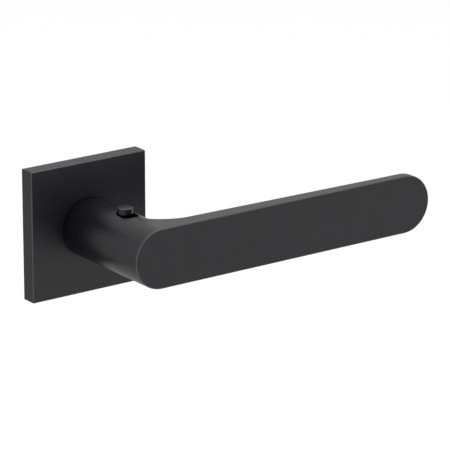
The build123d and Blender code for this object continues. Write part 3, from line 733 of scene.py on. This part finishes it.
def grip_skin(radius, reach, projection, shoulder, bore):
    """The whole casting as one closed surface, from the end of its bore to the middle of its face.

    The grip's outline is a straight slot: points at `radius` from a spine that runs from the
    spindle's axis to the middle of the rounded end. Each column is the ray from the axis to one
    outline point. Along it a row is a distance from the axis and a front: up the bore, round the
    shoulder, up the neck, round the flare's arc, which touches both the neck and the back, and out
    along the back, whose front grows evenly with x because the grip gets thinner. The last rows
    follow the outline: the back edge is a quadratic curve that fades out where the neck runs into
    the grip's side, the front edge is a quarter circle, and the face runs in to the spine. Where
    the ray meets the outline inside the flare, the arc ends there.
    """
    centre_x = reach - radius
    near = radius / np.tan(np.radians(np.arange(90, 20, -3)))
    straight = np.r_[near, np.linspace(near[-1], centre_x, 22)[1:]]
    tip = np.radians(np.arange(86, -90, -4))
    neck = np.radians(np.arange(-93, -270, -3))
    square = np.full(len(straight), tau / 4)
    facing = np.r_[square, tip, -square, neck]
    spine = np.r_[straight, np.full(len(tip), centre_x), straight[::-1], np.zeros(len(neck))]
    normal = np.stack([np.cos(facing), np.sin(facing)])
    outline = radius * normal
    outline[0] += spine
    out_reach = np.hypot(*outline)
    ray = outline / out_reach

    back_at_axis = projection - THICK_AT_AXIS
    slope = (THICK_AT_AXIS - THICK_AT_END) / centre_x * np.maximum(ray[0], 0)
    tilt = np.sqrt(1 + slope**2)
    arc_reach = radius + FLARE_R
    arc_front = back_at_axis + slope * arc_reach - FLARE_R * tilt
    flare_reach = arc_reach - FLARE_R * slope / tilt
    beyond_axis = np.maximum(outline[0], 0) ** 2
    edge = BACK_EDGE * beyond_axis / (BACK_EDGE_FADE_SQUARED + beyond_axis)
    back_limit = out_reach - edge / (normal * ray).sum(0)
    flare_limit = np.minimum(flare_reach, back_limit)
    flare_turn = np.arccos(np.clip((arc_reach - flare_limit) / FLARE_R, -1, 1))

    def back_front(away):
        """Front of the flare or the back at this distance from the axis."""
        from_crest = (arc_reach - away) / FLARE_R
        on_arc = arc_front + FLARE_R * np.sqrt(np.clip(1 - from_crest**2, 0, 1))
        return np.where(away < flare_reach, on_arc, back_at_axis + slope * away)

    rows = [(0 * ray, BORE_FRONT), (bore * ray, BORE_FRONT), (bore * ray, shoulder)]
    for t in np.linspace(0, tau / 4, 5):
        away = radius - NECK_EDGE * (1 - sin(t))
        rows.append((away * ray, shoulder + NECK_EDGE * (1 - cos(t))))
    for t in np.linspace(0, 1, 13)[1:]:
        rows.append((radius * ray, shoulder + NECK_EDGE + t * (arc_front - shoulder - NECK_EDGE)))
    for t in np.linspace(0, 1, 19)[1:]:
        turn = t * flare_turn
        away = arc_reach - FLARE_R * np.cos(turn)
        rows.append((away * ray, arc_front + FLARE_R * np.sin(turn)))
    for t in np.linspace(0, 1, 7)[1:]:
        away = flare_limit + t * (back_limit - flare_limit)
        rows.append((away * ray, back_front(away)))
    edge_start = (back_limit * ray, back_front(back_limit))
    for t in np.linspace(0, 1, 6)[1:]:
        left = (1 - t) ** 2
        plan = left * edge_start[0] + (1 - left) * outline
        rows.append((plan, left * edge_start[1] + (1 - left) * back_front(out_reach) + t**2 * edge))
    side_start = rows[-1][1]
    for t in np.linspace(0, 1, 4)[1:-1]:
        rows.append((outline, side_start + t * (projection - GRIP_EDGE - side_start)))
    for t in np.linspace(0, tau / 4, 7):
        inset = GRIP_EDGE * (1 - cos(t))
        rows.append((outline - inset * normal, projection - GRIP_EDGE * (1 - sin(t))))
    for t in np.linspace(0, 1, 4)[1:]:
        inset = GRIP_EDGE + t * (radius - GRIP_EDGE)
        rows.append((outline - inset * normal, projection))
    flat = [np.stack([plan[0], -front + 0 * plan[0], plan[1]], -1) for plan, front in rows]
    return np.stack(flat), grid_faces(len(rows), len(facing), False, True)


def obround(radius, travel, middle_y, sides=64):
    """Outline in x and y of a slot: a circle whose two halves lie one travel apart in y."""
    angle = np.linspace(0, tau, sides, endpoint=False) + tau / (2 * sides)
    x = radius * np.cos(angle)
    y = middle_y + radius * np.sin(angle) + travel / 2 * np.sign(np.sin(angle))
    return np.stack([x, y], -1)


handle_low, handle_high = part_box("lever_handle")
liner_low, liner_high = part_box("slot_liner")
screw_low, screw_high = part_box("set_screw")
neck_r = handle_high.z
bore_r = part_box("spigot")[1].x
slot_travel = (liner_high.y - liner_low.y) - (liner_high.x - liner_low.x)
slot_middle = (liner_high.y + liner_low.y) / 2
clamp_middle = (screw_high.y + screw_low.y) / 2
outside_neck = 1.2 * neck_r
inside_bore = 0.8 * bore_r
skin = grip_skin(neck_r, handle_high.x, -handle_low.y, -handle_high.y, bore_r)
casting = cut_away(
    mesh_of("grip_and_neck", [skin]),
    prism(obround(liner_high.x, slot_travel, slot_middle), liner_low.z, outside_neck),
    prism(obround(STEM_SLOT_R, slot_travel, slot_middle), inside_bore, 1.1 * liner_low.z),
    prism(obround(screw_high.x, 0.0, clamp_middle), -outside_neck, -inside_bore),
)
handled_coat = black_coat("black_coat_handled", 0.27)
spine_end = handle_high.x - neck_r
# A painted highlight along the rounded rim of the grip's face.
paint_edge_highlight(casting, GRIP_EDGE, lambda x, y, z: (
    neck_r - np.hypot(x - np.clip(x, 0, spine_end), z),
    -handle_low.y + y,
))
finish_piece("grip_and_neck", casting, "lever", "black_coat", handled_coat, "lever_handle")

# ==== Thumb lock ====
# The button is coated like the handle. Its bar and spring are black steel, the detent's ball is
# ground steel, and the slot's liner is nylon.
BUTTON_EDGE = 0.00025
BUTTON_FOOT = 0.0115
BUTTON_FOOT_EDGE = 0.0001
STEM_R = 0.0014


def turned_upright(profile, x, y, sides=64):
    """A profile of (radius, height) points carried round a vertical axis, closed at both ends."""
    radius, height = np.array(profile).T[:, :, None]
    angle = np.linspace(0, tau, sides, endpoint=False)
    places = (x + radius * np.cos(angle), y + radius * np.sin(angle), height)
    grid = np.stack(np.broadcast_arrays(*places), -1)
    return grid, grid_faces(len(profile), sides, False, True)


button_low, button_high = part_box("lock_button")
button_r = button_high.x
button_profile = [(0, button_low.z), (STEM_R, button_low.z), (STEM_R, BUTTON_FOOT)]
button_profile += list(rounded_corner(button_r, -BUTTON_FOOT, BUTTON_FOOT_EDGE) * (1, -1))
button_profile += list(rounded_corner(button_r, button_high.z, BUTTON_EDGE, 6)[::-1])
button_profile.append((0, button_high.z))
button_y = (button_low.y + button_high.y) / 2
button = mesh_of("thumb_button", [turned_upright(button_profile, 0.0, button_y)])
# A painted highlight along the button's rounded top edge.
paint_edge_highlight(button, BUTTON_EDGE, lambda x, y, z: (
    button_r - np.hypot(x, y - button_y),
    button_high.z - z,
))
finish_piece("thumb_button", button, "lock", "black_coat", handled_coat, "lock_button")
smooth_copy("slot_liner", "lever", "black_nylon", nylon)
smooth_copy("lock_bar", "lock", "dark_steel", dark)
smooth_copy("detent_ball", "lock", "bright_steel", ground)
smooth_copy("detent_spring", "lock", "dark_steel", dark)
